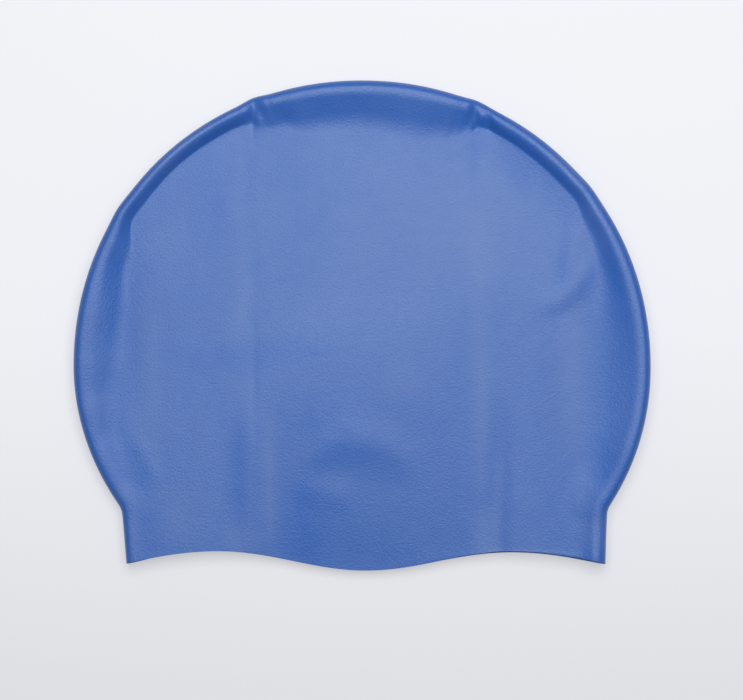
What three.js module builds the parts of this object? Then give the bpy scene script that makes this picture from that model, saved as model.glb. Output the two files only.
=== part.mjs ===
// A silicone swim cap, lying flat on its side as it is stored: one thin moulded dome, pressed flat,
// with an open mouth towards -Y, the crown towards +Y and the sheet that lies on the table at Z = 0.
// Its fold edge stands up as a soft roll, inside which the upper sheet sags, and four pinches in the
// roll, two packing creases and a few dents mark the sheet. Units are millimetres.

import * as THREE from 'three';
import { mergeVertices } from 'three/addons/utils/BufferGeometryUtils.js';

// Outline, seen from above
const capWidth = 225; // across the widest line, from fold edge to fold edge
const crownRise = 111.5; // from the widest line up to the crown
const crownFullness = 2.05; // 2 is an ellipse, and more is squarer at the shoulders
const sideDepth = 76.5; // from the widest line down to the corners of the mouth
const sideRadius = 94.5; // of the arc by which each side draws in below the widest line
const mouthWidth = 186.8; // from corner to corner
const neckFlare = 0.055; // how much wider each side of the neck is, for each mm above the mouth
const neckFillet = 0.4; // how far the corner where neck and side meet is eased
const mouthShift = 1.5; // how far the mouth has slid to the right under the dome
const shiftEase = 1.4; // power by which that slide grows on the way down

// Mouth line, seen from above
const earLobe = 3; // how far the lobe over the ear reaches below the corners
const templeArch = 4.7; // how far the arches beside the lobe rise above the corners
const archAt = 0.62; // where the arches peak, as a share of half the mouth's width
const mouthReach = 60; // how far up the cap the mouth's wave is felt by the grid of the mesh
const lowerLip = 1; // how far the lower sheet shows past the upper one at the mouth's right
const lipRight = 0.7; // share of half the mouth over which that grows towards the right
const lipLeft = 0.8; // share of half the mouth past which it shows again at the left end
const leftLip = 0.8; // how much it shows at the left end, as a share of lowerLip
const neckSquare = 24; // how far up the neck the rim's sections are turned level

// Heights
const wall = 0.7; // thickness of the silicone
const rimHeight = 12; // top of the roll above the table, at its highest
const rimRoll = 3.7; // from the fold edge in to the top of the roll
const rollFullness = 2.6; // of the roll above the fold edge: 2 is an ellipse, and more is flatter on top
const rimSlope = 10; // from the top of the roll in to the foot of its inner slope, at its typical width
const faceHeight = 8; // top of the upper sheet above the table, inside the roll
const mouthHeight = 6; // top of the upper sheet above the table, in the middle of the mouth
const cheekHeight = 8.3; // top of the upper sheet above the table, at both sides of the mouth
const mouthFall = 100; // how far up the cap those heights at the mouth are felt
const panelShare = 0.28; // half the width of the upper sheet's middle panel, as a share of half the cap's
const panelEase = 0.3; // share of half the cap's width over which it passes into the side panels
const foldMiddle = 0.46; // height of the fold edge, as a share of the roll's height there

// Resolution of the mesh
const stationCount = 72; // along the fold edge
const pinchCrowding = 2.6; // how much closer the stations stand at a pinch
const pinchSpread = 9; // length over which they crowd
const lowerRollSteps = 4;
const lowerSheetSteps = 3;
const upperRollSteps = 5;
const slopeSteps = 6;
const upperSheetSteps = 9;
const lineSteps = 90; // fine steps in each side, and in each quarter of the crown, of the fold edge

// Levels that follow from the sizes above, with the middle of the outline's box at the origin
const outlineHeight = crownRise + sideDepth + earLobe;
const widestLevel = outlineHeight / 2 - crownRise;
const cornerLevel = widestLevel - sideDepth;

// The rim by bearing: degrees round the middle of the widest line, from its right end over the crown.
// crest is the roll's height as a share of rimHeight, roll and slope are shares of rimRoll and rimSlope,
// start is the share of the slope over which it steepens, and foot the share over which it eases out
// into the sheet.
const rim = [
  { bearing: -40, crest: 0.86, roll: 1.15, slope: 0.85, start: 0.2, foot: 0.7 },
  { bearing: -34, crest: 0.84, roll: 1.12, slope: 1.05, start: 0.2, foot: 0.75 },
  { bearing: -28, crest: 0.89, roll: 0.98, slope: 1.6, start: 0.15, foot: 0.8 },
  { bearing: -15, crest: 0.98, roll: 0.92, slope: 2.1, start: 0.12, foot: 0.84 },
  { bearing: 0, crest: 1, roll: 0.93, slope: 2.15, start: 0.12, foot: 0.82 },
  { bearing: 11, crest: 0.99, roll: 0.97, slope: 1.8, start: 0.15, foot: 0.75 },
  { bearing: 23, crest: 0.97, roll: 1.02, slope: 1.08, start: 0.25, foot: 0.55 },
  { bearing: 31, crest: 0.96, roll: 1, slope: 0.76, start: 0.3, foot: 0.5 },
  { bearing: 38, crest: 0.91, roll: 0.93, slope: 0.52, start: 0.45, foot: 0.3 },
  { bearing: 50, crest: 0.905, roll: 0.88, slope: 0.51, start: 0.6, foot: 0.15 },
  { bearing: 58, crest: 0.91, roll: 0.86, slope: 0.51, start: 0.6, foot: 0.2 },
  { bearing: 62, crest: 0.94, roll: 0.86, slope: 0.52, start: 0.5, foot: 0.2 },
  { bearing: 63.8, crest: 0.93, roll: 0.86, slope: 0.6, start: 0.35, foot: 0.3 },
  { bearing: 66, crest: 0.87, roll: 0.84, slope: 1.1, start: 0.18, foot: 0.5 },
  { bearing: 68.3, crest: 0.95, roll: 0.9, slope: 1.35, start: 0.2, foot: 0.5 },
  { bearing: 71, crest: 0.98, roll: 0.96, slope: 1.6, start: 0.15, foot: 0.5 },
  { bearing: 77, crest: 1, roll: 1, slope: 1.88, start: 0.15, foot: 0.5 },
  { bearing: 92, crest: 1, roll: 1.03, slope: 1.62, start: 0.15, foot: 0.5 },
  { bearing: 103, crest: 1, roll: 1, slope: 1.5, start: 0.15, foot: 0.45 },
  { bearing: 108, crest: 0.98, roll: 0.94, slope: 1.15, start: 0.2, foot: 0.5 },
  { bearing: 109.8, crest: 0.95, roll: 0.86, slope: 1.1, start: 0.25, foot: 0.55 },
  { bearing: 112.2, crest: 0.86, roll: 0.78, slope: 1, start: 0.25, foot: 0.6 },
  { bearing: 114.8, crest: 0.92, roll: 0.74, slope: 0.62, start: 0.35, foot: 0.4 },
  { bearing: 116.5, crest: 0.97, roll: 0.73, slope: 0.52, start: 0.45, foot: 0.2 },
  { bearing: 119, crest: 0.97, roll: 0.73, slope: 0.47, start: 0.5, foot: 0.12 },
  { bearing: 131, crest: 0.98, roll: 0.71, slope: 0.44, start: 0.5, foot: 0.12 },
  { bearing: 146.9, crest: 0.94, roll: 0.8, slope: 0.47, start: 0.4, foot: 0.2 },
  { bearing: 155, crest: 0.95, roll: 1.02, slope: 1.08, start: 0.25, foot: 0.35 },
  { bearing: 167, crest: 0.94, roll: 1.03, slope: 1.66, start: 0.3, foot: 0.35 },
  { bearing: 178, crest: 0.9, roll: 0.97, slope: 1.66, start: 0.3, foot: 0.4 },
  { bearing: 187, crest: 0.85, roll: 0.92, slope: 1.42, start: 0.35, foot: 0.5 },
  { bearing: 197, crest: 0.79, roll: 0.9, slope: 1.1, start: 0.35, foot: 0.55 },
  { bearing: 208, crest: 0.73, roll: 0.88, slope: 0.85, start: 0.3, foot: 0.7 },
  { bearing: 214, crest: 0.71, roll: 0.88, slope: 0.85, start: 0.2, foot: 0.7 },
  { bearing: 220, crest: 0.71, roll: 0.88, slope: 0.85, start: 0.2, foot: 0.7 },
];

// Pinches, where the folded cap has nipped its roll: out is how far the fold edge juts out there and
// reach the length over which it does, both as shares of rimRoll.
const pinches = [
  { bearing: 38.1, out: 0.1, reach: 1.6 },
  { bearing: 66.3, out: 0.18, reach: 1.4 },
  { bearing: 112.1, out: 0.22, reach: 1.3 },
  { bearing: 146.9, out: 0.12, reach: 1.6 },
];

// Folds and dents in the upper side, roll included. x and y are shares of half the cap's width and height,
// and turn is the direction of the fold in degrees from +X. long and wide are its half-sizes as shares of
// capWidth, rise is a share of rimHeight, and bend is how far its ends drop to its right, as a share of long.
const folds = [
  { name: 'left crease, top', x: -0.376, y: 0.86, turn: 88, long: 0.026, wide: 0.006, rise: -0.045, bend: 0 },
  { name: 'left crease, bulge', x: -0.336, y: 0.839, turn: 15, long: 0.02, wide: 0.014, rise: 0.05, bend: 0 },
  { name: 'left crease', x: -0.395, y: 0.25, turn: 91, long: 0.24, wide: 0.02, rise: -0.014, bend: 0 },
  { name: 'left crease, foot', x: -0.383, y: -0.66, turn: 91, long: 0.14, wide: 0.023, rise: 0.055, bend: 0 },
  { name: 'left crease, line', x: -0.37, y: -0.5, turn: 91, long: 0.2, wide: 0.007, rise: -0.01, bend: 0 },
  { name: 'right nip, left', x: 0.391, y: 0.84, turn: 96, long: 0.024, wide: 0.006, rise: -0.05, bend: 0 },
  { name: 'right nip, right', x: 0.432, y: 0.845, turn: 112, long: 0.024, wide: 0.008, rise: -0.06, bend: 0 },
  { name: 'right crease', x: 0.405, y: 0.2, turn: 88, long: 0.26, wide: 0.02, rise: -0.014, bend: 0 },
  { name: 'right crease, foot', x: 0.47, y: -0.72, turn: 88, long: 0.15, wide: 0.021, rise: -0.065, bend: 0 },
  { name: 'right shoulder', x: 0.657, y: 0.662, turn: -45, long: 0.11, wide: 0.031, rise: 0.08, bend: 0.12 },
  { name: 'left side', x: -0.82, y: 0, turn: 91, long: 0.16, wide: 0.036, rise: -0.06, bend: 0 },
  { name: 'right side', x: 0.77, y: -0.27, turn: 88, long: 0.2, wide: 0.065, rise: -0.08, bend: 0 },
  { name: 'right dent, ridge', x: 0.728, y: 0.267, turn: 76, long: 0.055, wide: 0.017, rise: 0.03, bend: 0 },
  { name: 'right dent, line', x: 0.688, y: 0.223, turn: 81, long: 0.035, wide: 0.006, rise: -0.012, bend: 0 },
  { name: 'right dent, arc', x: 0.731, y: 0.145, turn: 45, long: 0.06, wide: 0.018, rise: 0.045, bend: -0.3 },
  { name: 'middle swell', x: -0.05, y: -0.25, turn: 0, long: 0.18, wide: 0.1, rise: 0.045, bend: 0 },
  { name: 'ear bulge', x: -0.02, y: -0.475, turn: 0, long: 0.092, wide: 0.036, rise: 0.062, bend: 0.3 },
  { name: 'ear ripple', x: -0.13, y: -0.68, turn: -12, long: 0.05, wide: 0.022, rise: 0.025, bend: 0 },
  { name: 'left neck nick', x: -0.745, y: -0.55, turn: -65, long: 0.045, wide: 0.014, rise: 0.012, bend: 0 },
  { name: 'right lip', x: 0.548, y: -0.925, turn: 0, long: 0.17, wide: 0.005, rise: 0.008, bend: 0.09 },
  { name: 'right lip, lift', x: 0.409, y: -0.99, turn: 90, long: 0.06, wide: 0.018, rise: 0.02, bend: 0 },
  { name: 'ear hollow', x: -0.076, y: -1, turn: 0, long: 0.11, wide: 0.07, rise: -0.045, bend: 0 },
];

// How the strips of the mesh fan in from the fold edge to the mouth: those of the neck spread out, those
// of the sides crowd together, and those from between the pinches beside the crown run straight down.
// edge is a share of the fold edge's length from its nearer end, and mouth a share of the mouth's width.
const mouthFan = [
  { edge: 0, mouth: 0 },
  { edge: 0.05, mouth: 0.14 },
  { edge: 0.41, mouth: 0.26 },
  { edge: 0.5, mouth: 0.5 },
];

const smooth = (t) => {
  const u = THREE.MathUtils.clamp(t, 0, 1);
  return u * u * (3 - 2 * u);
};

// A row of the rim's table at any bearing, eased from one row to the next.
function rimAt(bearing) {
  const last = rim.length - 1;
  const at = THREE.MathUtils.clamp(bearing, rim[0].bearing, rim[last].bearing);
  const next = Math.min(last, Math.max(1, rim.findIndex((row) => row.bearing >= at)));
  const a = rim[next - 1];
  const b = rim[next];
  const t = smooth((at - a.bearing) / (b.bearing - a.bearing));
  const mix = (key) => THREE.MathUtils.lerp(a[key], b[key], t);
  return {
    top: mix('crest') * rimHeight,
    roll: mix('roll') * rimRoll,
    slope: mix('slope') * rimSlope,
    start: mix('start'),
    foot: mix('foot'),
  };
}

// Half the outline's width below the widest line: the wider of the side's arc and the neck's line.
function sideHalfWidth(y) {
  const below = widestLevel - y;
  const arc = capWidth / 2 - sideRadius + Math.sqrt(sideRadius ** 2 - below ** 2);
  const neck = mouthWidth / 2 + neckFlare * (y - cornerLevel);
  return (arc + neck) / 2 + Math.hypot((arc - neck) / 2, neckFillet);
}

function sidePoint(side, share) {
  const y = widestLevel - share * sideDepth;
  return new THREE.Vector2(side * sideHalfWidth(y) + mouthShift * share ** shiftEase, y);
}

function crownPoint(bearing) {
  const angle = THREE.MathUtils.degToRad(bearing);
  const across = Math.abs(Math.cos(angle) / (capWidth / 2)) ** crownFullness;
  const up = Math.abs(Math.sin(angle) / crownRise) ** crownFullness;
  const radius = (across + up) ** (-1 / crownFullness);
  return new THREE.Vector2(radius * Math.cos(angle), widestLevel + radius * Math.sin(angle));
}

// Degrees round the middle of the widest line, from -90 to 270, so that both mouth corners are reached.
function bearingOf(point) {
  const degrees = THREE.MathUtils.radToDeg(Math.atan2(point.y - widestLevel, point.x));
  return degrees < -90 ? degrees + 360 : degrees;
}

// The way inwards at one point of a line that runs clockwise.
function inwardAt(line, k) {
  const before = line[Math.max(0, k - 1)];
  const after = line[Math.min(line.length - 1, k + 1)];
  const along = after.clone().sub(before).normalize();
  return new THREE.Vector2(along.y, -along.x);
}

// The outline in fine steps, from the left corner of the mouth over the crown to the right one.
function outline() {
  const line = [];
  for (let k = 0; k < lineSteps; k++) line.push(sidePoint(-1, 1 - k / lineSteps));
  for (let k = 0; k < 2 * lineSteps; k++) line.push(crownPoint(180 - (90 * k) / lineSteps));
  for (let k = 0; k <= lineSteps; k++) line.push(sidePoint(1, k / lineSteps));
  return line;
}

// How far the pinches push the fold edge out of the outline at a point.
function pinchOut(point) {
  return pinches.reduce((sum, pinch) => {
    const away = point.distanceTo(crownPoint(pinch.bearing)) / (pinch.reach * rimRoll);
    return sum + pinch.out * rimRoll * Math.exp(-(away ** 2));
  }, 0);
}

// Stations along the fold edge, closer together at the pinches. Each has its place, the way inwards,
// its rim sizes, and its share of the edge's length.
function edgeStations() {
  const line = outline();
  const pinchPoints = pinches.map((pinch) => crownPoint(pinch.bearing));
  const length = [0];
  const crowd = [0];
  for (let k = 1; k < line.length; k++) {
    const step = line[k].distanceTo(line[k - 1]);
    const near = pinchPoints.reduce(
      (sum, point) => sum + Math.exp(-((line[k].distanceTo(point) / pinchSpread) ** 2)),
      0,
    );
    length.push(length[k - 1] + step);
    crowd.push(crowd[k - 1] + step * (1 + pinchCrowding * near));
  }
  const stations = [];
  for (let i = 0, k = 1; i <= stationCount; i++) {
    const target = (crowd.at(-1) * i) / stationCount;
    while (k < line.length - 1 && crowd[k] < target) k++;
    const t = THREE.MathUtils.clamp((target - crowd[k - 1]) / (crowd[k] - crowd[k - 1]), 0, 1);
    const place = line[k - 1].clone().lerp(line[k], t);
    const inward = inwardAt(line, k - 1).lerp(inwardAt(line, k), t);
    const neck = 1 - smooth((place.y - cornerLevel) / neckSquare);
    inward.lerp(new THREE.Vector2(-Math.sign(place.x), 0), neck).normalize();
    place.addScaledVector(inward, -pinchOut(place));
    const share = THREE.MathUtils.lerp(length[k - 1], length[k], t) / length.at(-1);
    stations.push({ place, inward, share, rim: rimAt(bearingOf(place)) });
  }
  return stations;
}

// Height of the mouth line above its corners: a lobe in the middle between two arches.
function mouthRise(x) {
  const share = Math.min(1, Math.abs(x - mouthShift) / (mouthWidth / 2));
  if (share < archAt) {
    return -earLobe + ((templeArch + earLobe) * (1 - Math.cos((Math.PI * share) / archAt))) / 2;
  }
  return templeArch * Math.cos((Math.PI / 2) * ((share - archAt) / (1 - archAt)));
}

// The grid is laid out over a straight mouth, and this bends it to the real one.
function bendToMouth(x, y) {
  return y + mouthRise(x) * (1 - smooth((y - cornerLevel) / mouthReach));
}

// How far the lower sheet is drawn down at a point: most at the mouth's right, less at its left end.
function lipDrop(x, y) {
  const share = (x - mouthShift) / (mouthWidth / 2);
  const across = smooth(share / lipRight) + leftLip * smooth((-share - lipLeft) / (1 - lipLeft));
  return lowerLip * across * (1 - smooth((y - cornerLevel) / mouthReach));
}

// Height of one fold at a point: a rounded ridge along a line that may be bent.
function foldHeight(fold, x, y) {
  const angle = THREE.MathUtils.degToRad(fold.turn);
  const dx = x - (fold.x * capWidth) / 2;
  const dy = y - (fold.y * outlineHeight) / 2;
  const length = fold.long * capWidth;
  const along = (dx * Math.cos(angle) + dy * Math.sin(angle)) / length;
  const across = -dx * Math.sin(angle) + dy * Math.cos(angle) + fold.bend * length * along ** 2;
  return fold.rise * rimHeight * Math.exp(-(along ** 4) - (across / (fold.wide * capWidth)) ** 2);
}

// What all the folds together add to the height of the upper side at a point.
function foldsHeight(x, y) {
  return folds.reduce((sum, fold) => sum + foldHeight(fold, x, y), 0);
}

// Height of the upper sheet inside the roll, without its folds. Towards the mouth it falls by the square in
// the middle panel and rises by the square at the sides.
function sheetHeight(x, y) {
  const { clamp, lerp } = THREE.MathUtils;
  const near = clamp(1 - (y - cornerLevel - mouthRise(x)) / mouthFall, 0, 1) ** 2;
  const side = smooth((Math.abs(x) / (capWidth / 2) - panelShare) / panelEase);
  return lerp(faceHeight, lerp(mouthHeight, cheekHeight, side), near);
}

// Share of the way down the roll's inner slope: it steepens, runs straight and eases out.
function slopeShare(t, start, foot) {
  const area = 1 - start / 2 - foot / 2;
  if (t >= 1) return 1;
  if (t < start) return (t * t) / (2 * start) / area;
  if (t < 1 - foot) return (t - start / 2) / area;
  return 1 - ((1 - t) ** 2) / (2 * foot) / area;
}

// The rows of one station's strip, from the lower mouth round the fold edge to the upper mouth. A row of
// the sheets is a share of the way to the mouth line, past the foot of the rim's slope. folded is the share
// of the folds' height that a row takes up.
function stripRows(station) {
  const { top, roll, slope, start, foot } = station.rim;
  const middle = foldMiddle * top;
  const rows = [];
  const inner = roll + slope;
  for (let k = lowerSheetSteps; k >= 0; k--) {
    rows.push({ sheet: k / lowerSheetSteps, in: inner, z: 0, folded: 0 });
  }
  for (let k = lowerRollSteps; k > 0; k--) {
    const angle = (Math.PI / 2) * (k / lowerRollSteps);
    rows.push({ sheet: 0, in: roll * (1 - Math.cos(angle)), z: middle * (1 - Math.sin(angle)), folded: 0 });
  }
  for (let k = 0; k < upperRollSteps; k++) {
    const angle = (Math.PI / 2) * (k / upperRollSteps);
    const across = 1 - Math.cos(angle) ** (2 / rollFullness);
    const up = Math.sin(angle) ** (2 / rollFullness);
    rows.push({ sheet: 0, in: roll * across, z: middle + (top - middle) * up, folded: up });
  }
  for (let k = 0; k < slopeSteps; k++) {
    const t = k / slopeSteps;
    rows.push({ sheet: 0, in: roll + slope * t, down: slopeShare(t, start, foot), folded: 1 });
  }
  for (let k = 0; k <= upperSheetSteps; k++) {
    rows.push({ sheet: k / upperSheetSteps, in: inner, down: 1, folded: 1 });
  }
  return rows;
}

// One point of the cap's outer surface.
function outerPoint(station, row, first, last) {
  const x = station.place.x + station.inward.x * row.in;
  const y = station.place.y + station.inward.y * row.in;
  const mouthX = THREE.MathUtils.lerp(first, last, mouthShare(station.share));
  const planX = THREE.MathUtils.lerp(x, mouthX, row.sheet);
  const planY = bendToMouth(planX, THREE.MathUtils.lerp(y, cornerLevel, row.sheet));
  const { top } = station.rim;
  const folded = row.folded * foldsHeight(planX, planY);
  if (row.z !== undefined) {
    const under = 1 - row.z / top;
    return new THREE.Vector3(planX, planY - under * lipDrop(planX, planY), row.z + folded);
  }
  const height = THREE.MathUtils.lerp(top, sheetHeight(planX, planY), row.down);
  return new THREE.Vector3(planX, planY, height + folded);
}

// Where a station's strip meets the mouth, as a share of the way from its left end.
function mouthShare(share) {
  const fromEnd = Math.min(share, 1 - share);
  const next = mouthFan.findIndex((row) => row.edge >= fromEnd);
  const b = mouthFan[Math.max(1, next)];
  const a = mouthFan[Math.max(1, next) - 1];
  const mouth = THREE.MathUtils.mapLinear(fromEnd, a.edge, b.edge, a.mouth, b.mouth);
  return share < 1 / 2 ? mouth : 1 - mouth;
}

// A triangle mesh from a grid of points, with the corners that coincide merged.
function gridGeometry(points, triangles) {
  const geometry = new THREE.BufferGeometry();
  geometry.setAttribute('position', new THREE.Float32BufferAttribute(points.flatMap((p) => p.toArray()), 3));
  geometry.setIndex(triangles.flat());
  const merged = mergeVertices(geometry, 1e-4);
  const index = Array.from(merged.index.array);
  const kept = [];
  for (let k = 0; k < index.length; k += 3) {
    const [a, b, c] = index.slice(k, k + 3);
    if (a !== b && b !== c && c !== a) kept.push(a, b, c);
  }
  merged.setIndex(kept);
  return merged;
}

// The cap's wall: the outer surface, the same surface moved in by the wall, and the cut edge that joins
// them round the mouth.
function capShell() {
  const stations = edgeStations();
  const [left, right] = [stations[0], stations[stationCount]];
  const first = left.place.x + left.rim.roll + left.rim.slope;
  const last = right.place.x - right.rim.roll - right.rim.slope;
  const outer = stations.flatMap((station) =>
    stripRows(station).map((row) => outerPoint(station, row, first, last)),
  );
  const rowCount = outer.length / stations.length;
  const sheet = [];
  for (let i = 0; i < stationCount; i++) {
    for (let j = 0; j < rowCount - 1; j++) {
      const a = i * rowCount + j;
      const b = a + rowCount;
      sheet.push([a, a + 1, b + 1], [a, b + 1, b]);
    }
  }
  const skin = gridGeometry(outer, sheet);
  skin.computeVertexNormals();
  const place = skin.attributes.position;
  const normal = skin.attributes.normal;
  const count = place.count;
  const points = [];
  for (const depth of [0, wall]) {
    for (let k = 0; k < count; k++) {
      const point = new THREE.Vector3().fromBufferAttribute(place, k);
      points.push(point.addScaledVector(new THREE.Vector3().fromBufferAttribute(normal, k), -depth));
    }
  }
  const faces = [];
  const index = skin.index.array;
  const edges = new Map();
  for (let k = 0; k < index.length; k += 3) {
    const [a, b, c] = index.slice(k, k + 3);
    faces.push([a, b, c], [count + a, count + c, count + b]);
    for (const [from, to] of [[a, b], [b, c], [c, a]]) {
      if (!edges.delete(`${to},${from}`)) edges.set(`${from},${to}`, [from, to]);
    }
  }
  for (const [from, to] of edges.values()) {
    faces.push([from, count + from, to], [to, count + from, count + to]);
  }
  return gridGeometry(points, faces);
}

const silicone = new THREE.MeshStandardMaterial({ color: 0x5476b8, roughness: 0.55, metalness: 0 });

const cap = new THREE.Group();
const shell = new THREE.Mesh(capShell(), silicone);
shell.name = 'cap_shell';
cap.add(shell);

export default cap;
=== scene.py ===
"""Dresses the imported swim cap: its soft moulded surface, its silicone, and a pale studio table."""

import math

import bpy
import numpy as np
from bpy.props import FloatProperty, FloatVectorProperty, IntProperty, PointerProperty
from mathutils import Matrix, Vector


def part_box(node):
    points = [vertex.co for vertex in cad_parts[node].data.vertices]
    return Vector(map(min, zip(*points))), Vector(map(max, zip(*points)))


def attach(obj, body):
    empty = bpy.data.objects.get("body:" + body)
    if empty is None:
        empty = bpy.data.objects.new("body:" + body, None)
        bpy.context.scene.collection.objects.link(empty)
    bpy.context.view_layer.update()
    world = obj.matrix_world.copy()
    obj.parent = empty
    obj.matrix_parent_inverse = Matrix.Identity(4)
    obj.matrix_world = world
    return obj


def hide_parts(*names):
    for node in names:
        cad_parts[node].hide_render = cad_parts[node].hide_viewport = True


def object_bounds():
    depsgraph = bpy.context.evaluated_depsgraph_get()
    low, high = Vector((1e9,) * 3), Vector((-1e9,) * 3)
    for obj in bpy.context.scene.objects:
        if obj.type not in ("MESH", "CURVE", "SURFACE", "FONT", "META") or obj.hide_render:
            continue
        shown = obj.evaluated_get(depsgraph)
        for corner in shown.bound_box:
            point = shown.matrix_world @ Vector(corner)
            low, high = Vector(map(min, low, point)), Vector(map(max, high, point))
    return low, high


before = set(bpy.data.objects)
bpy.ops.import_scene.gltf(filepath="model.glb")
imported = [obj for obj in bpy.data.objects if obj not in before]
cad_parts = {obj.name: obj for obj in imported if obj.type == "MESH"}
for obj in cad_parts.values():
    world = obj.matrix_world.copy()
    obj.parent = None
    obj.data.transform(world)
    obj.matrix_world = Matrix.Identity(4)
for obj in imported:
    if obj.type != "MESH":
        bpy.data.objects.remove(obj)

bl_info = {
    "name": "Swim Cap",
    "version": (1, 0, 0),
    "blender": (4, 5, 0),
    "location": "3D View > Sidebar > Swim Cap",
    "description": "Builds a flat-lying silicone swim cap and the table that it lies on",
    "category": "Object",
}

NODE = "cap_shell"

CAD_LOW, CAD_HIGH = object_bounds()
NODE_LOW, NODE_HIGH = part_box(NODE)


def table(columns, *rows):
    """A table with named columns: one dictionary for each row."""
    return [dict(zip(columns, row)) for row in rows]


# The rim by bearing: degrees round the middle of the widest line, from its right end over the crown.
# crest is the roll's height as a share of the rim's, roll and slope are shares of the roll's and the
# slope's own widths, start is the share of the slope over which it steepens, and foot the share over
# which it eases out into the sheet.
RIM = table(
    ("bearing", "crest", "roll", "slope", "start", "foot"),
    (-40, 0.86, 1.15, 0.85, 0.2, 0.7),
    (-34, 0.84, 1.12, 1.05, 0.2, 0.75),
    (-28, 0.89, 0.98, 1.6, 0.15, 0.8),
    (-15, 0.98, 0.92, 2.1, 0.12, 0.84),
    (0, 1, 0.93, 2.15, 0.12, 0.82),
    (11, 0.99, 0.97, 1.8, 0.15, 0.75),
    (23, 0.97, 1.02, 1.08, 0.25, 0.55),
    (31, 0.96, 1, 0.76, 0.3, 0.5),
    (38, 0.91, 0.93, 0.52, 0.45, 0.3),
    (50, 0.905, 0.88, 0.51, 0.6, 0.15),
    (58, 0.91, 0.86, 0.51, 0.6, 0.2),
    (62, 0.94, 0.86, 0.52, 0.5, 0.2),
    (63.8, 0.93, 0.86, 0.6, 0.35, 0.3),
    (66, 0.87, 0.84, 1.1, 0.18, 0.5),
    (68.3, 0.95, 0.9, 1.35, 0.2, 0.5),
    (71, 0.98, 0.96, 1.6, 0.15, 0.5),
    (77, 1, 1, 1.88, 0.15, 0.5),
    (92, 1, 1.03, 1.62, 0.15, 0.5),
    (103, 1, 1, 1.5, 0.15, 0.45),
    (108, 0.98, 0.94, 1.15, 0.2, 0.5),
    (109.8, 0.95, 0.86, 1.1, 0.25, 0.55),
    (112.2, 0.86, 0.78, 1, 0.25, 0.6),
    (114.8, 0.92, 0.74, 0.62, 0.35, 0.4),
    (116.5, 0.97, 0.73, 0.52, 0.45, 0.2),
    (119, 0.97, 0.73, 0.47, 0.5, 0.12),
    (131, 0.98, 0.71, 0.44, 0.5, 0.12),
    (146.9, 0.94, 0.8, 0.47, 0.4, 0.2),
    (155, 0.95, 1.02, 1.08, 0.25, 0.35),
    (167, 0.94, 1.03, 1.66, 0.3, 0.35),
    (178, 0.9, 0.97, 1.66, 0.3, 0.4),
    (187, 0.85, 0.92, 1.42, 0.35, 0.5),
    (197, 0.79, 0.9, 1.1, 0.35, 0.55),
    (208, 0.73, 0.88, 0.85, 0.3, 0.7),
    (214, 0.71, 0.88, 0.85, 0.2, 0.7),
    (220, 0.71, 0.88, 0.85, 0.2, 0.7),
)

# Pinches, where the folded cap has nipped its roll: out is how far the fold edge juts out there and
# reach the length over which it does, both as shares of the roll's width.
PINCHES = table(
    ("bearing", "out", "reach"),
    (38.1, 0.1, 1.6),
    (66.3, 0.18, 1.4),
    (112.1, 0.22, 1.3),
    (146.9, 0.12, 1.6),
)

# Folds and dents in the upper side, roll included. x and y are shares of half the cap's width and height,
# and turn is the direction of the fold in degrees from +X. long and wide are its half-sizes as shares of the
# cap's width, rise is a share of the rim's height, and bend is how far its ends drop to its right, as a
# share of its length.
FOLDS = table(
    ("name", "x", "y", "turn", "long", "wide", "rise", "bend"),
    ("left crease, top", -0.376, 0.86, 88, 0.026, 0.006, -0.045, 0),
    ("left crease, bulge", -0.336, 0.839, 15, 0.02, 0.014, 0.05, 0),
    ("left crease", -0.395, 0.25, 91, 0.24, 0.02, -0.014, 0),
    ("left crease, foot", -0.383, -0.66, 91, 0.14, 0.023, 0.055, 0),
    ("left crease, line", -0.37, -0.5, 91, 0.2, 0.007, -0.01, 0),
    ("right nip, left", 0.391, 0.84, 96, 0.024, 0.006, -0.05, 0),
    ("right nip, right", 0.432, 0.845, 112, 0.024, 0.008, -0.06, 0),
    ("right crease", 0.405, 0.2, 88, 0.26, 0.02, -0.014, 0),
    ("right crease, foot", 0.47, -0.72, 88, 0.15, 0.021, -0.065, 0),
    ("right shoulder", 0.657, 0.662, -45, 0.11, 0.031, 0.08, 0.12),
    ("left side", -0.82, 0, 91, 0.16, 0.036, -0.06, 0),
    ("right side", 0.77, -0.27, 88, 0.2, 0.065, -0.08, 0),
    ("right dent, ridge", 0.728, 0.267, 76, 0.055, 0.017, 0.03, 0),
    ("right dent, line", 0.688, 0.223, 81, 0.035, 0.006, -0.012, 0),
    ("right dent, arc", 0.731, 0.145, 45, 0.06, 0.018, 0.045, -0.3),
    ("middle swell", -0.05, -0.25, 0, 0.18, 0.1, 0.045, 0),
    ("ear bulge", -0.02, -0.475, 0, 0.092, 0.036, 0.062, 0.3),
    ("ear ripple", -0.13, -0.68, -12, 0.05, 0.022, 0.025, 0),
    ("left neck nick", -0.745, -0.55, -65, 0.045, 0.014, 0.012, 0),
    ("right lip", 0.548, -0.925, 0, 0.17, 0.005, 0.008, 0.09),
    ("right lip, lift", 0.409, -0.99, 90, 0.06, 0.018, 0.02, 0),
    ("ear hollow", -0.076, -1, 0, 0.11, 0.07, -0.045, 0),
)

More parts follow.
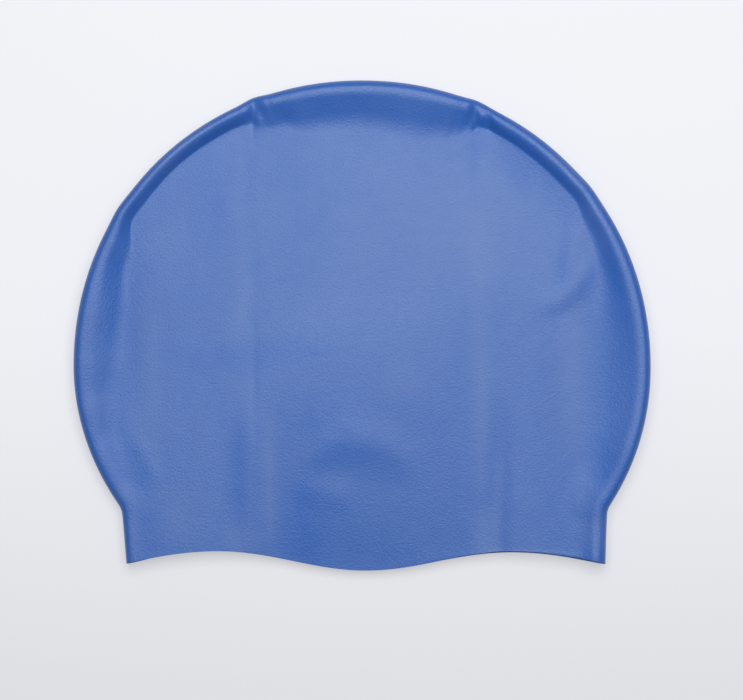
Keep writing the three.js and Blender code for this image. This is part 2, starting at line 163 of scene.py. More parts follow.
# Painted light and shade: places where the face is painted paler or darker than its common level, by laying
# more or less bloom on it, in place of sheen and shade that the form does not give. Some of these places
# stand for folds that the form lacks or holds too weakly. The columns are those of the folds, and amount is a
# share of the colour.
PAINTED_SHADING = table(
    ("name", "x", "y", "turn", "long", "wide", "amount"),
    ("crown", 0.236, 0.382, 15, 0.27, 0.13, 0.026),
    ("left panel, dark", -0.51, 0.533, 90, 0.09, 0.04, -0.018),
    ("left crease, pale", -0.406, 0.104, 90, 0.08, 0.016, 0.02),
    ("middle, dark", -0.312, -0.112, 3, 0.13, 0.028, -0.024),
    ("above the ear, dark", -0.128, -0.419, 0, 0.045, 0.03, -0.03),
    ("left foot, dark", -0.433, -0.598, 90, 0.09, 0.018, -0.026),
    ("left foot, pale", -0.322, -0.647, 90, 0.12, 0.013, 0.034),
    ("left lip, pale", -0.412, -0.876, 0, 0.03, 0.03, 0.038),
    ("ear, dark", -0.198, -0.786, 90, 0.08, 0.035, -0.026),
    ("right crease, groove", 0.385, 0.696, 90, 0.036, 0.012, -0.03),
    ("right crease, pale", 0.406, -0.018, 91, 0.2, 0.022, 0.018),
    ("right foot, pale", 0.416, -0.427, 90, 0.12, 0.014, 0.018),
    ("right lip, pale", 0.433, -0.847, 90, 0.045, 0.024, 0.042),
    ("right shoulder, dark", 0.565, 0.655, -45, 0.13, 0.038, -0.03),
    ("right cheek, dark", 0.707, -0.774, 90, 0.07, 0.035, -0.018),
    ("left neck, dark", -0.825, -0.529, -60, 0.07, 0.024, -0.04),
    ("right of the ear, pale", 0.139, -0.223, 0, 0.04, 0.028, 0.022),
    ("right side, pale", 0.724, -0.174, 90, 0.13, 0.028, 0.034),
    ("right side, dark", 0.835, -0.284, 88, 0.2, 0.03, -0.036),
    ("right neck, pale", 0.821, -0.843, 90, 0.035, 0.025, 0.04),
    ("left of the crown, dark", -0.215, 0.431, 90, 0.12, 0.06, -0.018),
    ("left neck, edge", -0.794, -0.843, 90, 0.045, 0.009, 0.022),
    ("left neck, inside", -0.742, -0.843, 90, 0.045, 0.02, -0.024),
    ("right dent, groove", 0.7, 0.276, 82, 0.06, 0.013, -0.032),
    ("right dent, pale", 0.752, 0.276, 82, 0.04, 0.016, 0.012),
    ("left side, dark", -0.853, 0.084, 86, 0.075, 0.016, -0.024),
    ("left side, inside", -0.808, 0.063, 88, 0.07, 0.012, -0.018),
    ("right slope, pale", 0.808, 0.423, -62, 0.05, 0.014, 0.022),
    ("right neck, corner", 0.766, -0.762, 90, 0.03, 0.02, 0.012),
    ("left side, low", -0.846, -0.304, 88, 0.08, 0.018, -0.028),
    ("left cheek, pale", -0.735, -0.141, 90, 0.12, 0.02, 0.024),
    ("left shoulder, pale", -0.631, 0.717, 45, 0.08, 0.012, 0.03),
    ("right shoulder, pale", 0.718, 0.643, -50, 0.05, 0.014, 0.035),
    ("right shoulder, inside", 0.52, 0.627, -50, 0.04, 0.02, -0.024),
    ("ear, shaded", -0.059, -0.468, 0, 0.05, 0.03, -0.02),
    ("left lip, film", -0.638, -0.774, 90, 0.05, 0.035, 0.022),
)

# How the strips of the grid fan in from the fold edge to the mouth: edge is a share of the fold edge's
# length from its nearer end, and mouth a share of the mouth's width.
MOUTH_FAN = table(
    ("edge", "mouth"),
    (0.0, 0.0),
    (0.05, 0.14),
    (0.41, 0.26),
    (0.5, 0.5),
)

# The lower lip, where the lower sheet shows past the upper one.
LIP_RIGHT = 0.7  # share of half the mouth over which the lower lip grows towards the right
LIP_LEFT = 0.8  # share of half the mouth past which it shows again at the left end
LEFT_LIP = 0.8  # how much it shows at the left end, as a share of its size at the right

# The grid of the mesh.
EDGE_STEPS = 700  # fine steps in each side, and in each quarter of the crown, of the fold edge
PINCH_CROWDING = 1.5  # how much closer the strips stand at a pinch
PINCH_SPREAD = 0.012  # length over which they crowd
LOWER_SHEET_ROWS = 6
LOWER_ROLL_ROWS = 7
UPPER_ROLL_ROWS = 10
SLOPE_ROWS = 18
UPPER_SHEET_ROWS = 58
LIP_ROWS = (0.4, 0.16, 0.05)  # the last rows and strips before the mouth, as shares of a step short of it

# The silicone's shader.
SILICONE_IOR = 1.44
SILICONE_SHEEN = (0.94, 1, 0.88, 1)  # tint of its reflections
GRAIN_STRENGTH = 0.6
GRAIN_DEPTH = 0.00025
SATIN_SPREAD = 0.03  # how far the clouds raise and lower the roughness
NOISE_LOW = 0.3  # between these two lies nearly all that a noise texture gives
NOISE_HIGH = 0.7

# The table and the camera.
TABLE_ROUGHNESS = 0.8
TABLE_GAP = 0.0001  # from the cap's underside down to the table
NEAR_REACH = 0.14  # from the table's middle to the near edge of the picture
SENSOR_WIDTH = 36


class SwimCapShape(bpy.types.PropertyGroup):
    """Sizes of the cap as it lies flat."""

    width: FloatProperty(
        name="Width", description="Across the widest line", default=NODE_HIGH[0] - NODE_LOW[0],
        unit="LENGTH", precision=4,
    )
    height: FloatProperty(
        name="Height", description="From the lobe over the ear to the crown",
        default=NODE_HIGH[1] - NODE_LOW[1], unit="LENGTH", precision=4,
    )
    rim_height: FloatProperty(
        name="Rim height", description="Top of the roll above the table", default=NODE_HIGH[2] - NODE_LOW[2],
        unit="LENGTH", precision=4,
    )
    crown_fullness: FloatProperty(
        name="Crown fullness", description="2 is an ellipse, and more is squarer at the shoulders",
        default=2.05,
    )
    side_depth: FloatProperty(
        name="Side depth", description="From the widest line down to the mouth's corners", default=0.0765,
        unit="LENGTH", precision=4,
    )
    side_radius: FloatProperty(
        name="Side radius", description="Of the arc by which each side draws in", default=0.0945,
        unit="LENGTH", precision=4,
    )
    mouth_width: FloatProperty(
        name="Mouth width", description="From corner to corner", default=0.1868, unit="LENGTH", precision=4,
    )
    neck_flare: FloatProperty(
        name="Neck flare", description="Slope by which each side of the neck widens upwards", default=0.055,
    )
    neck_fillet: FloatProperty(
        name="Neck fillet", description="How far the corner where neck and side meet is eased",
        default=0.0004, unit="LENGTH", precision=5,
    )
    mouth_shift: FloatProperty(
        name="Mouth shift", description="How far the mouth has slid to the right", default=0.0015,
        unit="LENGTH", precision=4,
    )
    shift_ease: FloatProperty(
        name="Shift ease", description="Power by which that slide grows on the way down", default=1.4,
    )
    ear_lobe: FloatProperty(
        name="Ear lobe", description="How far the middle lobe reaches below the corners", default=0.003,
        unit="LENGTH", precision=4,
    )
    temple_arch: FloatProperty(
        name="Temple arch", description="How far the arches beside the lobe rise above the corners",
        default=0.0047, unit="LENGTH", precision=4,
    )
    arch_at: FloatProperty(
        name="Arch place", description="Where the arches peak, as a share of half the mouth", default=0.62,
    )
    lower_lip: FloatProperty(
        name="Lower lip", description="How far the lower sheet shows past the upper one at the mouth's right",
        default=0.001, unit="LENGTH", precision=5,
    )
    mouth_reach: FloatProperty(
        name="Mouth reach", description="How far up the cap the mouth's wave bends the grid", default=0.06,
        unit="LENGTH", precision=4,
    )
    wall: FloatProperty(
        name="Wall", description="Thickness of the silicone", default=0.0007, unit="LENGTH", precision=5,
    )
    roll: FloatProperty(
        name="Roll", description="From the fold edge in to the top of the roll", default=0.0037,
        unit="LENGTH", precision=4,
    )
    slope: FloatProperty(
        name="Slope", description="Typical width of the roll's inner slope", default=0.01,
        unit="LENGTH", precision=4,
    )
    roll_fullness: FloatProperty(
        name="Roll fullness", description="2 is an ellipse, and more is flatter on top", default=2.6,
    )
    neck_square: FloatProperty(
        name="Neck square", description="How far up the neck the rim's sections are turned level",
        default=0.024, unit="LENGTH", precision=4,
    )
    face_height: FloatProperty(
        name="Face height", description="Top of the upper sheet above the table", default=0.008,
        unit="LENGTH", precision=4,
    )
    mouth_height: FloatProperty(
        name="Mouth height", description="Top of the upper sheet in the middle of the mouth", default=0.006,
        unit="LENGTH", precision=4,
    )
    cheek_height: FloatProperty(
        name="Cheek height", description="Top of the upper sheet at both sides of the mouth", default=0.0083,
        unit="LENGTH", precision=4,
    )
    mouth_fall: FloatProperty(
        name="Mouth fall", description="How far up the cap those heights are felt", default=0.1,
        unit="LENGTH", precision=4,
    )
    panel_share: FloatProperty(
        name="Middle panel", description="Half its width, as a share of half the cap's", default=0.28,
    )
    panel_ease: FloatProperty(
        name="Panel ease", description="Share over which it passes into the side panels", default=0.3,
    )
    fold_middle: FloatProperty(
        name="Fold middle", description="Height of the fold edge as a share of the roll's", default=0.46,
    )
    stations: IntProperty(
        name="Stations", description="Strips of the grid along the fold edge", default=380, min=60,
    )


class SwimCapFinish(bpy.types.PropertyGroup):
    """Colours and surface of the silicone."""

    colour: FloatVectorProperty(
        name="Silicone", description="Pigment of the silicone, as sRGB", subtype="COLOR_GAMMA",
        default=(0x18 / 255, 0x51 / 255, 0xA1 / 255),
    )
    # The bloom's colour, which the painted light and shade also mixes into the face, more in some places and
    # less in others.
    bloom_and_painted_light_colour: FloatVectorProperty(
        name="Film", description="Bloom that comes out on the face, as sRGB", subtype="COLOR_GAMMA",
        default=(0xC4 / 255, 0xC5 / 255, 0xBC / 255),
    )
    # The bloom's common level, to which the painted light and shade is added.
    film_and_painted_shading: FloatProperty(
        name="Film level", description="Share of the face's colour that the bloom makes up", default=0.03,
        subtype="FACTOR",
    )
    film_mottle: FloatProperty(
        name="Film mottle", description="How far the bloom's clouds thicken and thin it", default=0.008,
        subtype="FACTOR",
    )
    mottle: FloatProperty(
        name="Mottle", description="Size of the bloom's clouds", default=0.007, unit="LENGTH", precision=4,
    )
    roughness: FloatProperty(
        name="Roughness", description="Satin of the moulded face", default=0.365, subtype="FACTOR",
    )
    grain: FloatProperty(
        name="Grain", description="Width of the mould's fine grain", default=0.0008,
        unit="LENGTH", precision=5,
    )
    cloud: FloatProperty(
        name="Cloud", description="Size of the faint clouds in the sheen", default=0.03,
        unit="LENGTH", precision=4,
    )


class SwimCapStudio(bpy.types.PropertyGroup):
    """The table, the light and the camera over it."""

    table_colour: FloatVectorProperty(
        name="Table", description="Colour of the table, as sRGB", subtype="COLOR_GAMMA",
        default=(0x94 / 255, 0x95 / 255, 0x98 / 255),
    )
    table_glow: FloatProperty(
        name="Table glow", description="Light from below, through the table", default=1.65,
    )
    near_glow: FloatProperty(
        name="Near glow", description="The same at the near edge of the picture", default=1.35,
    )
    table_size: FloatProperty(
        name="Table size", description="Side of the table", default=6, unit="LENGTH",
    )
    camera_height: FloatProperty(
        name="Camera height", description="Above the table", default=1.1, unit="LENGTH",
    )
    view_width: FloatProperty(
        name="View width", description="Width that the picture takes in at the fold edge", default=0.2897,
        unit="LENGTH", precision=4,
    )
    view_x: FloatProperty(
        name="View X", description="Middle of the picture, to the right of the cap's", default=0.0037,
        unit="LENGTH", precision=4,
    )
    view_y: FloatProperty(
        name="View Y", description="Middle of the picture, above the cap's", default=-0.0095,
        unit="LENGTH", precision=4,
    )
    light_power: FloatProperty(
        name="Light power", description="Of the soft box overhead", default=14.2, unit="POWER",
    )
    light_size: FloatProperty(
        name="Light size", description="Side of the soft box", default=0.9, unit="LENGTH",
    )
    light_height: FloatProperty(
        name="Light height", description="Of the soft box above the table", default=1.0, unit="LENGTH",
    )
    light_forward: FloatProperty(
        name="Light forward", description="How far the soft box stands towards the crown", default=0.32,
        unit="LENGTH",
    )
    light_right: FloatProperty(
        name="Light right", description="How far the soft box stands to the right", default=0.05,
        unit="LENGTH",
    )
    fill: FloatProperty(
        name="Fill", description="Light from the room all round", default=0.22,
    )


def linear(colour):
    """sRGB values from 0 to 1, turned to the linear values that shaders take."""
    return tuple(c / 12.92 if c <= 0.04045 else ((c + 0.055) / 1.055) ** 2.4 for c in colour)


def smooth(t):
    """Eases from 0 to 1: three times the square less twice the cube."""
    t = np.clip(t, 0, 1)
    return t * t * (3 - 2 * t)


def column(rows, name):
    """One column of a table as an array."""
    return np.array([row[name] for row in rows], dtype=float)


def eased(rows, key, name, at):
    """A table's column at any values of its key, eased from each row to the next."""
    keys, values = column(rows, key), column(rows, name)
    k = np.clip(np.searchsorted(keys, at) - 1, 0, len(keys) - 2)
    t = smooth((at - keys[k]) / (keys[k + 1] - keys[k]))
    return values[k] + t * (values[k + 1] - values[k])


class CapForm:
    """The cap's outer surface as functions of its sizes, in metres, with the box's middle at the origin."""

    def __init__(self, shape):
        self.shape = shape
        self.half_width = shape.width / 2
        self.widest_level = shape.side_depth + shape.ear_lobe - shape.height / 2
        self.crown_rise = shape.height / 2 - self.widest_level
        self.corner_level = self.widest_level - shape.side_depth

    def side_half_width(self, y):
        """Half the outline's width: the wider of the side's arc and the neck's line, eased by a hyperbola."""
        s = self.shape
        below = self.widest_level - y
        arc = self.half_width - s.side_radius + np.sqrt(s.side_radius**2 - below**2)
        neck = s.mouth_width / 2 + s.neck_flare * (y - self.corner_level)
        return (arc + neck) / 2 + np.hypot((arc - neck) / 2, s.neck_fillet)

    def side_points(self, side, share):
        """Points down one side, from the widest line at 0 to the mouth's corner at 1."""
        y = self.widest_level - share * self.shape.side_depth
        x = side * self.side_half_width(y) + self.shape.mouth_shift * share**self.shape.shift_ease
        return np.stack([x, y], axis=-1)

    def crown_points(self, bearing):
        """Points of the crown, a superellipse, at bearings in degrees."""
        angle = np.radians(bearing)
        power = self.shape.crown_fullness
        across = np.abs(np.cos(angle) / self.half_width) ** power
        up = np.abs(np.sin(angle) / self.crown_rise) ** power
        radius = (across + up) ** (-1 / power)
        return np.stack([radius * np.cos(angle), self.widest_level + radius * np.sin(angle)], axis=-1)

    def bearings(self, points):
        """Degrees round the middle of the widest line, from -90 to 270."""
        degrees = np.degrees(np.arctan2(points[:, 1] - self.widest_level, points[:, 0]))
        return np.where(degrees < -90, degrees + 360, degrees)

    def mouth_rise(self, x):
        """Height of the mouth line above its corners: a cosine lobe between arches that fall as cosines."""
        s = self.shape
        share = np.minimum(1, np.abs(x - s.mouth_shift) / (s.mouth_width / 2))
        lobe = -s.ear_lobe + (s.temple_arch + s.ear_lobe) * (1 - np.cos(np.pi * share / s.arch_at)) / 2
        arch = s.temple_arch * np.cos(np.pi / 2 * (share - s.arch_at) / (1 - s.arch_at))
        return np.where(share < s.arch_at, lobe, arch)

    def bend_to_mouth(self, x, y):
        """Bends the grid, laid out over a straight mouth, to the real one."""
        reach = 1 - smooth((y - self.corner_level) / self.shape.mouth_reach)
        return y + self.mouth_rise(x) * reach

    def lower_lip(self, x, y):
        """How far the lower sheet is drawn down: most at the mouth's right, and less at its left end."""
        s = self.shape
        share = (x - s.mouth_shift) / (s.mouth_width / 2)
        across = smooth(share / LIP_RIGHT) + LEFT_LIP * smooth((-share - LIP_LEFT) / (1 - LIP_LEFT))
        return s.lower_lip * across * (1 - smooth((y - self.corner_level) / s.mouth_reach))

    def ridge(self, row, x, y):
        """A ridge of height 1 along a parabola: Gaussian across it, and of the fourth power along it."""
        s = self.shape
        angle = math.radians(row["turn"])
        dx = x - row["x"] * s.width / 2
        dy = y - row["y"] * s.height / 2
        length = row["long"] * s.width
        along = (dx * math.cos(angle) + dy * math.sin(angle)) / length
        across = -dx * math.sin(angle) + dy * math.cos(angle) + row.get("bend", 0) * length * along**2
        return np.exp(-(along**4) - (across / (row["wide"] * s.width)) ** 2)

    def folds_height(self, x, y):
        """What all the folds together add to the height of the upper side."""
        return self.shape.rim_height * sum(row["rise"] * self.ridge(row, x, y) for row in FOLDS)

    def film_and_painted_shading(self, x, y):
        """Painted light and shade: how much more bloom than its common level the face is painted with."""
        return sum(row["amount"] * self.ridge(row, x, y) for row in PAINTED_SHADING)

    def sheet_height(self, x, y):
        """Top of the upper sheet inside the roll, without its folds. Towards the mouth it falls by the
        square in the middle panel and rises by the square at the sides."""
        s = self.shape
        near = np.clip(1 - (y - self.corner_level - self.mouth_rise(x)) / s.mouth_fall, 0, 1) ** 2
        side = smooth((np.abs(x) / self.half_width - s.panel_share) / s.panel_ease)
        at_mouth = s.mouth_height + (s.cheek_height - s.mouth_height) * side
        return s.face_height + (at_mouth - s.face_height) * near

    def slope_share(self, t, start, foot):
        """Share of the way down the roll's inner slope: it steepens, runs straight and eases out."""
        area = 1 - start / 2 - foot / 2
        steepening = t * t / (2 * start) / area
        straight = (t - start / 2) / area
        easing = 1 - (1 - t) ** 2 / (2 * foot) / area
        return np.where(t < start, steepening, np.where(t < 1 - foot, straight, easing))



def inward_ways(line):
    """The way inwards along a line that runs clockwise: its direction, turned a quarter to the right."""
    along = np.gradient(line, axis=0)
    along /= np.linalg.norm(along, axis=1, keepdims=True)
    return np.stack([along[:, 1], -along[:, 0]], axis=-1)


def outline(form):
    """The outline from the left mouth corner over the crown to the right one."""
    share = np.arange(EDGE_STEPS) / EDGE_STEPS
    left = form.side_points(-1, 1 - share)
    crown = form.crown_points(180 - 90 * np.arange(2 * EDGE_STEPS) / EDGE_STEPS)
    right = form.side_points(1, np.append(share, 1))
    return np.concatenate([left, crown, right])


def pinch_distances(form, points):
    """Distance of each point to each pinch."""
    places = form.crown_points(column(PINCHES, "bearing"))
    return np.linalg.norm(points[:, None] - places[None], axis=2)


def stations(form):
    """Stations along the fold edge, closer at the pinches: places, inward ways and shares of its length.
    Each pinch pushes them out by a Gaussian of the distance to it."""
    line = outline(form)
    step = np.linalg.norm(np.diff(line, axis=0), axis=1)
    near = np.exp(-((pinch_distances(form, line[1:]) / PINCH_SPREAD) ** 2)).sum(axis=1)
    length = np.append(0, np.cumsum(step))
    crowd = np.append(0, np.cumsum(step * (1 + PINCH_CROWDING * near)))
    lip = np.array(LIP_ROWS[::-1]) * crowd[-1] / form.shape.stations
    at = np.linspace(0, crowd[-1], form.shape.stations + 1)
    at = np.concatenate([at[:1], lip, at[1:-1], crowd[-1] - lip[::-1], at[-1:]])
    ways = inward_ways(line)
    place = np.stack([np.interp(at, crowd, line[:, k]) for k in range(2)], axis=-1)
    inward = np.stack([np.interp(at, crowd, ways[:, k]) for k in range(2)], axis=-1)
    neck = 1 - smooth((place[:, 1] - form.corner_level) / form.shape.neck_square)[:, None]
    level = np.stack([-np.sign(place[:, 0]), np.zeros(len(place))], axis=-1)
    inward = inward * (1 - neck) + level * neck
    inward /= np.linalg.norm(inward, axis=1, keepdims=True)
    roll = form.shape.roll
    away = pinch_distances(form, place) / (roll * column(PINCHES, "reach"))
    out = (roll * column(PINCHES, "out") * np.exp(-(away**2))).sum(axis=1)
    return place - inward * out[:, None], inward, np.interp(at, crowd, length) / length[-1]


def sheet_rows(count):
    """Rows of a sheet, from 0 at the foot of the rim's slope to 1 at the mouth, closer at its lip."""
    return np.concatenate([np.arange(count), count - np.array(LIP_ROWS), [count]]) / count


def outer_surface(form):
    """The outer surface on a grid, and its painted light and shade: stations along the fold edge, rows from
    the lower mouth round the roll to the upper mouth. From the fold edge the roll follows a quarter ellipse
    down to the table and a superellipse up to its top. The slope and the sheet take their height from the
    sheet and the share of the way down to it. Round the roll the lower lip's draw fades evenly from row to
    row."""
    s = form.shape
    place, inward, share = stations(form)
    bearing = form.bearings(place)
    top = eased(RIM, "bearing", "crest", bearing)[:, None] * s.rim_height
    roll = eased(RIM, "bearing", "roll", bearing)[:, None] * s.roll
    slope = eased(RIM, "bearing", "slope", bearing)[:, None] * s.slope
    start = eased(RIM, "bearing", "start", bearing)[:, None]
    foot = eased(RIM, "bearing", "foot", bearing)[:, None]
    middle = s.fold_middle * top
    from_end = np.minimum(share, 1 - share)
    mouth_share = np.interp(from_end, column(MOUTH_FAN, "edge"), column(MOUTH_FAN, "mouth"))
    mouth_share = np.where(share < 0.5, mouth_share, 1 - mouth_share)
    first = place[0, 0] + roll[0] + slope[0]
    last = place[-1, 0] - roll[-1] - slope[-1]
    mouth_x = (first + (last - first) * mouth_share)[:, None]

    lower_sheet = sheet_rows(LOWER_SHEET_ROWS)[::-1]
    lower_angle = np.pi / 2 * np.arange(LOWER_ROLL_ROWS, 0, -1) / LOWER_ROLL_ROWS
    upper_angle = np.pi / 2 * np.arange(UPPER_ROLL_ROWS) / UPPER_ROLL_ROWS
    upper_in = 1 - np.cos(upper_angle) ** (2 / s.roll_fullness)
    upper_up = np.sin(upper_angle) ** (2 / s.roll_fullness)
    slope_t = np.arange(SLOPE_ROWS) / SLOPE_ROWS
    upper_sheet = sheet_rows(UPPER_SHEET_ROWS)

    depth = np.hstack([
        (roll + slope) * np.ones(len(lower_sheet)),
        roll * (1 - np.cos(lower_angle)),
        roll * upper_in,
        roll + slope * slope_t,
        (roll + slope) * np.ones(len(upper_sheet)),
    ])
    rim_rows = np.zeros(LOWER_ROLL_ROWS + UPPER_ROLL_ROWS + SLOPE_ROWS)
    sheet = np.concatenate([lower_sheet, rim_rows, upper_sheet])
    edge = place[:, None] + inward[:, None] * depth[:, :, None]
    x = edge[..., 0] + (mouth_x - edge[..., 0]) * sheet
    y = edge[..., 1] + (form.corner_level - edge[..., 1]) * sheet
    y = form.bend_to_mouth(x, y)
    under = np.linspace(1, 0, LOWER_ROLL_ROWS + UPPER_ROLL_ROWS)
    under = np.concatenate([np.ones(len(lower_sheet)), under, np.zeros(SLOPE_ROWS + len(upper_sheet))])
    y = y - under * form.lower_lip(x, y)

    low = np.zeros((len(top), len(lower_sheet)))
    lower_roll = middle * (1 - np.sin(lower_angle))
    upper_roll = middle + (top - middle) * upper_up
    down = np.hstack([form.slope_share(slope_t, start, foot), np.ones((len(top), len(upper_sheet)))])
    inside = down.shape[1]
    sheet_top = top + (form.sheet_height(x[:, -inside:], y[:, -inside:]) - top) * down
    folded = np.concatenate([np.zeros(len(lower_sheet) + LOWER_ROLL_ROWS), upper_up, np.ones(inside)])
    z = np.hstack([low, lower_roll, upper_roll, sheet_top]) + folded * form.folds_height(x, y)
    return np.stack([x, y, z], axis=-1), folded * form.film_and_painted_shading(x, y)


def grid_normals(points):
    """Unit normals of a grid of points: the cross product of its two central differences."""
    along = np.gradient(points, axis=0)
    across = np.gradient(points, axis=1)
    normal = np.cross(across, along)
    return normal / np.maximum(np.linalg.norm(normal, axis=2, keepdims=True), 1e-12)


def shell_mesh(name, outer, film_and_painted_shading, wall):
    """A closed wall: the outer grid, the same grid moved in along its normals, and the cut edge that joins
    them round the grid's border, which is the mouth. The outer grid's painted light and shade becomes an
    attribute."""
    inner = outer - wall * grid_normals(outer)
    rows, columns = outer.shape[:2]
    index = np.arange(rows * columns).reshape(rows, columns)
    a, b, c, d = index[:-1, :-1], index[:-1, 1:], index[1:, 1:], index[1:, :-1]
    outside = np.stack([a, b, c, d], axis=-1).reshape(-1, 4)
    inside = outside[:, ::-1] + rows * columns
    border = np.concatenate([index[:-1, 0], index[-1, :-1], index[:0:-1, -1], index[0, :0:-1]])
    following = np.roll(border, -1)
    cut = np.stack([border, following, following + rows * columns, border + rows * columns], axis=-1)
    faces = np.concatenate([outside, inside, cut])
    points = np.concatenate([outer.reshape(-1, 3), inner.reshape(-1, 3)])
    mesh = bpy.data.meshes.new(name)
    mesh.vertices.add(len(points))
    mesh.vertices.foreach_set("co", points.ravel())
    mesh.loops.add(faces.size)
    mesh.loops.foreach_set("vertex_index", faces.ravel().astype(np.int32))
    mesh.polygons.add(len(faces))
    mesh.polygons.foreach_set("loop_start", np.arange(0, faces.size, 4, dtype=np.int32))
    mesh.polygons.foreach_set("use_smooth", np.ones(len(faces), dtype=bool))
    mesh.update(calc_edges=True)
    mesh.validate()
    attribute = mesh.attributes.new("film_and_painted_shading", "FLOAT", "POINT")
    attribute.data.foreach_set("value", np.append(film_and_painted_shading, np.zeros_like(film_and_painted_shading)))
    return mesh


def add_node(tree, kind, links=(), **settings):
    """Adds a node, sets its inputs and properties by name, and links its inputs from other sockets."""
    node = tree.nodes.new(kind)
    for name, value in settings.items():
        if hasattr(node, name):
            setattr(node, name, value)
        else:
            node.inputs[name.replace("_", " ")].default_value = value
    for name, socket in links:
        tree.links.new(socket, node.inputs[name])
    return node


def material(name):
    """A new node material and its tree, with nothing in it but the output."""
    made = bpy.data.materials.new(name)
    made.use_nodes = True
    made.node_tree.nodes.clear()
    return made, made.node_tree


def noise(tree, place, size, detail, roughness):
    """The value of a noise texture with details of one size."""
    node = add_node(
        tree, "ShaderNodeTexNoise", [("Vector", place.outputs["Object"])],
        Scale=1 / size, Detail=detail, Roughness=roughness,
    )
    return node.outputs["Fac"]


def spread(tree, value, middle, reach):
    """A noise's value stretched to vary round a middle."""
    node = add_node(
        tree, "ShaderNodeMapRange", [("Value", value)],
        From_Min=NOISE_LOW, From_Max=NOISE_HIGH, To_Min=middle - reach, To_Max=middle + reach,
    )
    return node.outputs["Result"]


def moulded_silicone(finish):
    """Compression-moulded silicone rubber, pigmented blue. The mould's fine grain breaks its gloss into an
    even satin, and a thin bloom greys it in random clouds. On that the mesh's attribute lays painted light
    and shade: places made paler or darker by more or less bloom."""
    made, tree = material("moulded_silicone")
    place = add_node(tree, "ShaderNodeTexCoord")
    grain = noise(tree, place, finish.grain, detail=3.0, roughness=0.6)
    cloud = noise(tree, place, finish.cloud, detail=3.0, roughness=0.55)
    mottle = noise(tree, place, finish.mottle, detail=4.0, roughness=0.65)
    bump = add_node(
        tree, "ShaderNodeBump", [("Height", grain)], Strength=GRAIN_STRENGTH, Distance=GRAIN_DEPTH,
    )
    satin = spread(tree, cloud, finish.roughness, SATIN_SPREAD)
    uneven = spread(tree, mottle, finish.film_and_painted_shading, finish.film_mottle)
    # Painted light and shade from the mesh: paler and darker places, added to the bloom's share of the
    # colour.
    painted_marks = add_node(tree, "ShaderNodeAttribute", attribute_name="film_and_painted_shading")
    film_and_painted_shading = add_node(tree, "ShaderNodeMath", operation="ADD", use_clamp=True)
    tree.links.new(uneven, film_and_painted_shading.inputs[0])
    tree.links.new(painted_marks.outputs["Fac"], film_and_painted_shading.inputs[1])
    colour = add_node(tree, "ShaderNodeValToRGB", [("Fac", film_and_painted_shading.outputs["Value"])])
    colour.color_ramp.elements[0].color = (*linear(finish.colour), 1)
    colour.color_ramp.elements[1].color = (*linear(finish.bloom_and_painted_light_colour), 1)
    shader = add_node(
        tree, "ShaderNodeBsdfPrincipled",
        [("Base Color", colour.outputs["Color"]), ("Normal", bump.outputs["Normal"]), ("Roughness", satin)],
        IOR=SILICONE_IOR, Specular_Tint=SILICONE_SHEEN,
    )
    add_node(tree, "ShaderNodeOutputMaterial", [("Surface", shader.outputs["BSDF"])])
    return made


def table_top(studio):
    """Opal acrylic, lit from below so that it holds only faint shadows, and a little less at its near end."""
    made, tree = material("opal_acrylic")
    place = add_node(tree, "ShaderNodeTexCoord")
    across = add_node(tree, "ShaderNodeSeparateXYZ", [("Vector", place.outputs["Object"])])
    glow = add_node(
        tree, "ShaderNodeMapRange", [("Value", across.outputs["Y"])],
        From_Min=-NEAR_REACH, From_Max=0, To_Min=studio.near_glow, To_Max=studio.table_glow,
    )
    shader = add_node(
        tree, "ShaderNodeBsdfPrincipled", [("Emission Strength", glow.outputs["Result"])],
        Base_Color=(*linear(studio.table_colour), 1), Emission_Color=(*linear(studio.table_colour), 1),
        Roughness=TABLE_ROUGHNESS,
    )
    add_node(tree, "ShaderNodeOutputMaterial", [("Surface", shader.outputs["BSDF"])])
    return made


class SWIMCAP_OT_shell(bpy.types.Operator):
    """Builds the cap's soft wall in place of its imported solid"""

    bl_idname = "swimcap.shell"
    bl_label = "Build Cap Shell"

    def execute(self, context):
        shape = context.scene.swim_cap_shape
        form = CapForm(shape)
        mesh = shell_mesh("cap_silicone", *outer_surface(form), shape.wall)
        mesh.materials.append(moulded_silicone(context.scene.swim_cap_finish))
        shell = bpy.data.objects.new("cap_silicone", mesh)
        context.scene.collection.objects.link(shell)
        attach(shell, "root")
        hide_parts(NODE)
        return {"FINISHED"}


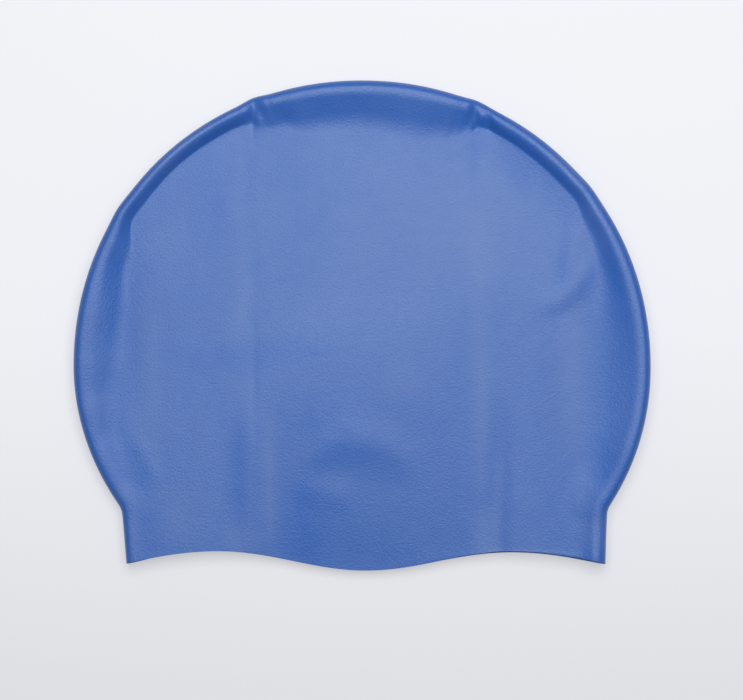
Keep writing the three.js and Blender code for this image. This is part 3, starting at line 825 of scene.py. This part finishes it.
class SWIMCAP_OT_studio(bpy.types.Operator):
    """Lays the table, hangs the soft box and sets the camera straight above"""

    bl_idname = "swimcap.studio"
    bl_label = "Set Up Studio"

    def execute(self, context):
        scene = context.scene
        studio = scene.swim_cap_studio
        shape = scene.swim_cap_shape

        half = studio.table_size / 2
        mesh = bpy.data.meshes.new("table")
        corners = [(-half, -half), (half, -half), (half, half), (-half, half)]
        mesh.from_pydata([(x, y, 0) for x, y in corners], [], [(0, 1, 2, 3)])
        mesh.materials.append(table_top(studio))
        top = bpy.data.objects.new("table", mesh)
        top.location.z = CAD_LOW[2] - TABLE_GAP
        scene.collection.objects.link(top)

        lamp = bpy.data.lights.new("soft_box", "AREA")
        lamp.shape = "SQUARE"
        lamp.size = studio.light_size
        lamp.energy = studio.light_power
        box = bpy.data.objects.new("soft_box", lamp)
        box.location = (studio.light_right, studio.light_forward, studio.light_height)
        scene.collection.objects.link(box)

        world = bpy.data.worlds.new("room")
        world.use_nodes = True
        room = world.node_tree.nodes["Background"]
        room.inputs["Strength"].default_value = studio.fill
        room.inputs["Color"].default_value = (1, 1, 1, 1)
        scene.world = world

        lens = bpy.data.cameras.new("camera")
        fold_level = shape.rim_height * shape.fold_middle
        lens.sensor_width = SENSOR_WIDTH
        lens.lens = SENSOR_WIDTH * (studio.camera_height - fold_level) / studio.view_width
        camera = bpy.data.objects.new("camera", lens)
        camera.location = (studio.view_x, studio.view_y, studio.camera_height)
        scene.collection.objects.link(camera)
        scene.camera = camera
        scene.view_settings.view_transform = "Standard"
        return {"FINISHED"}


class SWIMCAP_PT_panel(bpy.types.Panel):
    """Sizes, colours and steps of the swim cap"""

    bl_idname = "SWIMCAP_PT_panel"
    bl_label = "Swim Cap"
    bl_space_type = "VIEW_3D"
    bl_region_type = "UI"
    bl_category = "Swim Cap"

    def draw(self, context):
        layout = self.layout
        scene = context.scene
        for group in (scene.swim_cap_shape, scene.swim_cap_finish, scene.swim_cap_studio):
            box = layout.box()
            for name in group.__annotations__:
                box.prop(group, name)
        for operator in OPERATORS:
            layout.operator(operator.bl_idname)


OPERATORS = (SWIMCAP_OT_shell, SWIMCAP_OT_studio)
CLASSES = (SwimCapShape, SwimCapFinish, SwimCapStudio, *OPERATORS, SWIMCAP_PT_panel)


def register():
    for cls in CLASSES:
        bpy.utils.register_class(cls)
    bpy.types.Scene.swim_cap_shape = PointerProperty(type=SwimCapShape)
    bpy.types.Scene.swim_cap_finish = PointerProperty(type=SwimCapFinish)
    bpy.types.Scene.swim_cap_studio = PointerProperty(type=SwimCapStudio)


def unregister():
    del bpy.types.Scene.swim_cap_studio
    del bpy.types.Scene.swim_cap_finish
    del bpy.types.Scene.swim_cap_shape
    for cls in reversed(CLASSES):
        bpy.utils.unregister_class(cls)


def main():
    register()
    bpy.ops.swimcap.shell()
    bpy.ops.swimcap.studio()


if __name__ == "__main__":
    main()
